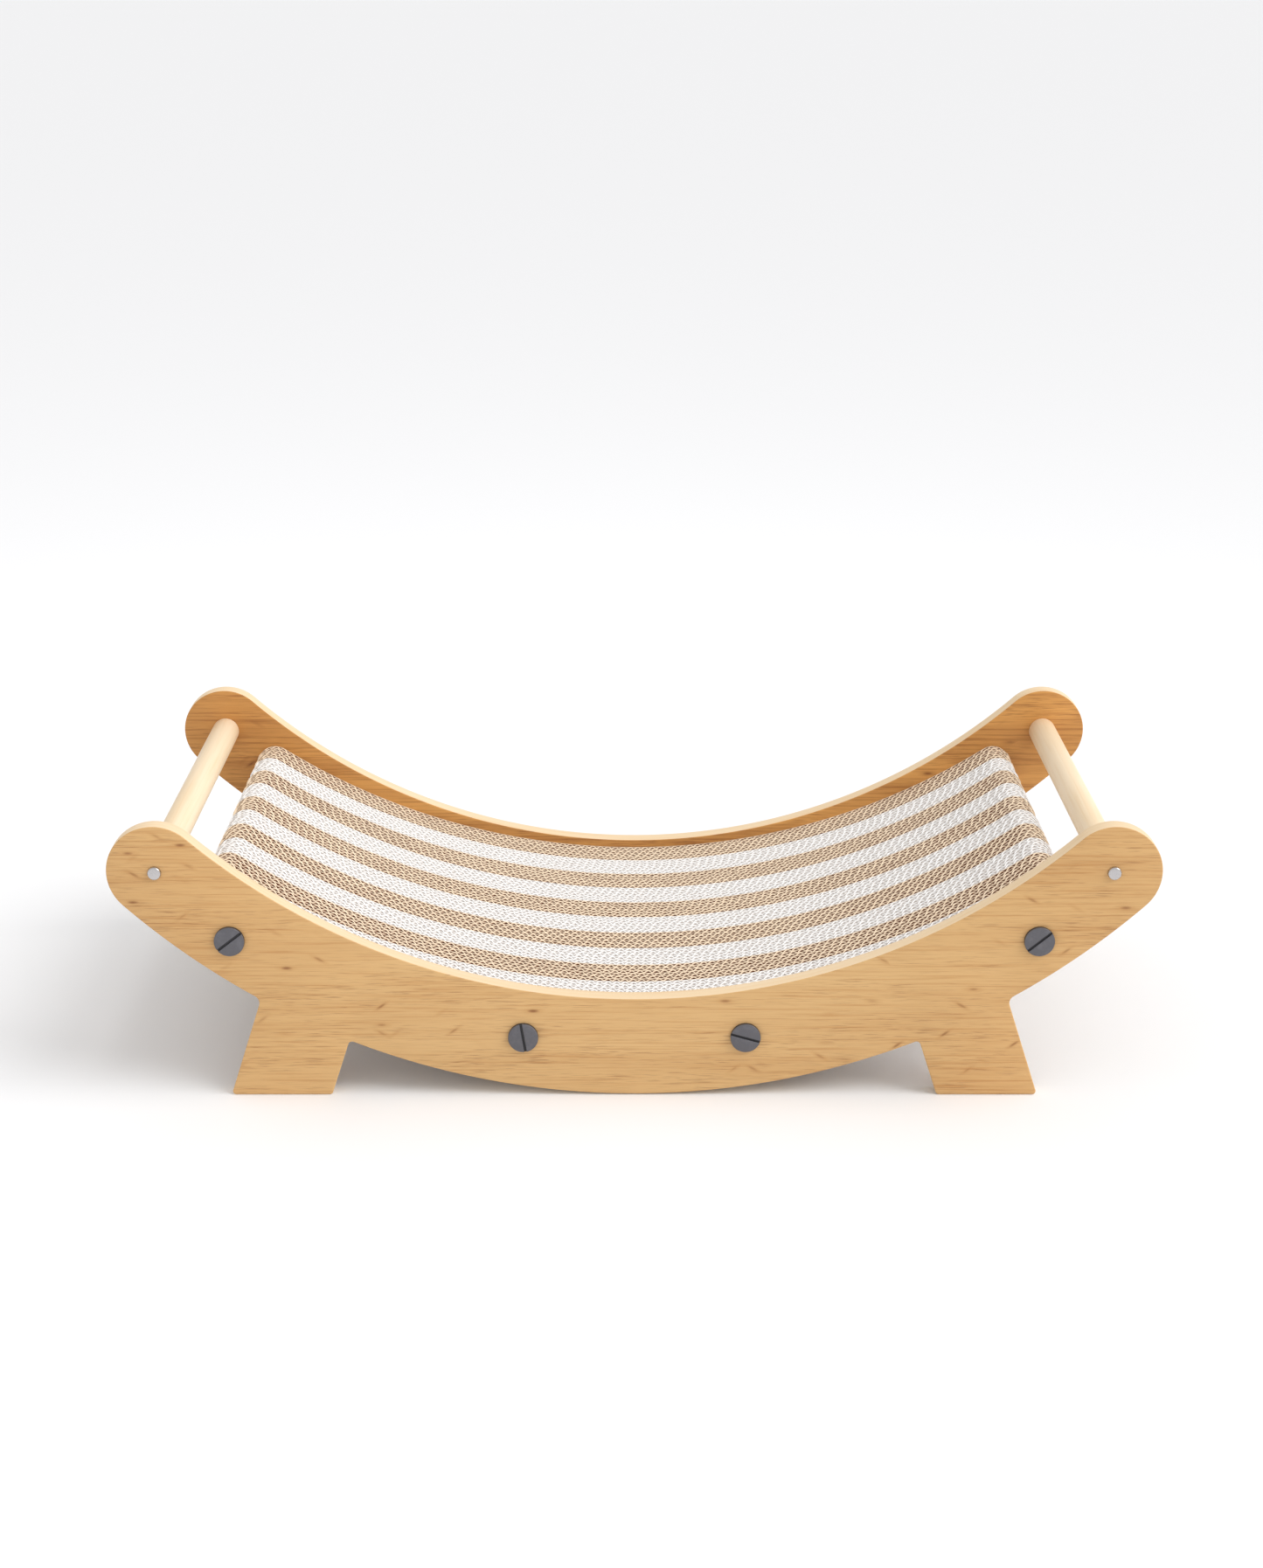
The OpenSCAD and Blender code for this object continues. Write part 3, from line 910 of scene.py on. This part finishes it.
    def mark_reach(self, bm):
        """Stores each point's distance from the pad's ends, top and underside, for the painted
        shade.
        """
        layer = bm.verts.layers.float_vector.new("reach")
        for vert in bm.verts:
            x, _, z = vert.co
            vert[layer] = (self.end - abs(x), self.top(x) - z, z - self.under(x))


class LOUNGE_OT_stage(bpy.types.Operator):
    """Set the floor, the lights and the camera"""
    bl_idname = "lounge.stage"
    bl_label = "Stage"

    FLOOR_CELLS = 8
    # Height of a direction's unit vector up to which the sky keeps the horizon's strength
    HORIZON_RISE = 0.05
    # Width of the camera's frame in millimetres
    FILM = 36

    def execute(self, context):
        stage = context.scene.lounge_stage
        self.floor(context, stage)
        self.sky(context, stage)
        self.light(context, stage)
        self.camera(context, stage)
        return {"FINISHED"}

    def floor(self, context, stage):
        bm = bmesh.new()
        bmesh.ops.create_grid(bm, x_segments=self.FLOOR_CELLS, y_segments=self.FLOOR_CELLS,
                              size=stage.floor_size / 2,
                              matrix=Matrix.Translation((0, 0, -stage.floor_drop)))
        mesh = bpy.data.meshes.new("studio_floor")
        bm.to_mesh(mesh)
        bm.free()
        mesh.materials.append(floor_finish(context.scene.lounge_colours))
        floor = bpy.data.objects.new("studio_floor", mesh)
        context.scene.collection.objects.link(floor)

    def sky(self, context, stage):
        world = bpy.data.worlds.new("studio_sky")
        world.use_nodes = True
        tree = world.node_tree
        background = tree.nodes["Background"]
        background.inputs["Color"].default_value = (1.0, 1.0, 1.0, 1.0)
        direction = tree.nodes.new("ShaderNodeTexCoord")
        parts = tree.nodes.new("ShaderNodeSeparateXYZ")
        strength = tree.nodes.new("ShaderNodeMapRange")
        strength.inputs["From Min"].default_value = self.HORIZON_RISE
        strength.inputs["To Min"].default_value = stage.horizon
        strength.inputs["To Max"].default_value = stage.sky
        tree.links.new(direction.outputs["Generated"], parts.inputs["Vector"])
        tree.links.new(parts.outputs["Z"], strength.inputs["Value"])
        tree.links.new(strength.outputs["Result"], background.inputs["Strength"])
        context.scene.world = world

    def light(self, context, stage):
        lamp = bpy.data.lights.new("key_light", "SUN")
        lamp.energy = stage.key
        lamp.angle = stage.key_spread
        holder = bpy.data.objects.new("key_light", lamp)
        holder.rotation_euler = Vector(stage.key_from).to_track_quat("Z", "Y").to_euler()
        context.scene.collection.objects.link(holder)

    def camera(self, context, stage):
        lens = bpy.data.cameras.new("camera")
        lens.sensor_width = self.FILM
        lens.lens = stage.lens
        camera = bpy.data.objects.new("camera", lens)
        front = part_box("side_panel_front")[0].y
        camera.location = (stage.aside, front - stage.distance, stage.height)
        camera.rotation_euler = (math.pi / 2 - stage.pitch, 0, 0)
        context.scene.collection.objects.link(camera)
        context.scene.camera = camera
        context.scene.view_settings.view_transform = "Standard"


class LOUNGE_PT_builder(bpy.types.Panel):
    """Lists the lounge's pieces in the sidebar"""
    bl_label = "Lounge"
    bl_idname = "LOUNGE_PT_builder"
    bl_space_type = "VIEW_3D"
    bl_region_type = "UI"
    bl_category = "Lounge"

    def draw(self, context):
        for operator in OPERATORS:
            self.layout.operator(operator.bl_idname)
        for group in GROUPS:
            box = self.layout.box()
            for item in GROUPS[group].__annotations__:
                box.prop(getattr(context.scene, group), item)


OPERATORS = (LOUNGE_OT_stage, LOUNGE_OT_side_panels, LOUNGE_OT_grip_bars, LOUNGE_OT_bar_pins,
             LOUNGE_OT_cross_rails, LOUNGE_OT_screws, LOUNGE_OT_pad)
GROUPS = {"lounge_panel": LoungePanelSizes, "lounge_pad": LoungePadSizes,
          "lounge_trim": LoungeTrimSizes, "lounge_colours": LoungeColours,
          "lounge_stage": LoungeStageSizes}


def register():
    for group in GROUPS.values():
        bpy.utils.register_class(group)
    for name, group in GROUPS.items():
        setattr(bpy.types.Scene, name, PointerProperty(type=group))
    for operator in OPERATORS:
        bpy.utils.register_class(operator)
    bpy.utils.register_class(LOUNGE_PT_builder)


def unregister():
    bpy.utils.unregister_class(LOUNGE_PT_builder)
    for operator in reversed(OPERATORS):
        bpy.utils.unregister_class(operator)
    for name, group in GROUPS.items():
        delattr(bpy.types.Scene, name)
        bpy.utils.unregister_class(group)


def main():
    register()
    bpy.ops.lounge.stage()
    bpy.ops.lounge.side_panels()
    bpy.ops.lounge.grip_bars()
    bpy.ops.lounge.bar_pins()
    bpy.ops.lounge.cross_rails()
    bpy.ops.lounge.screws()
    bpy.ops.lounge.pad()


if __name__ == "__main__":
    main()
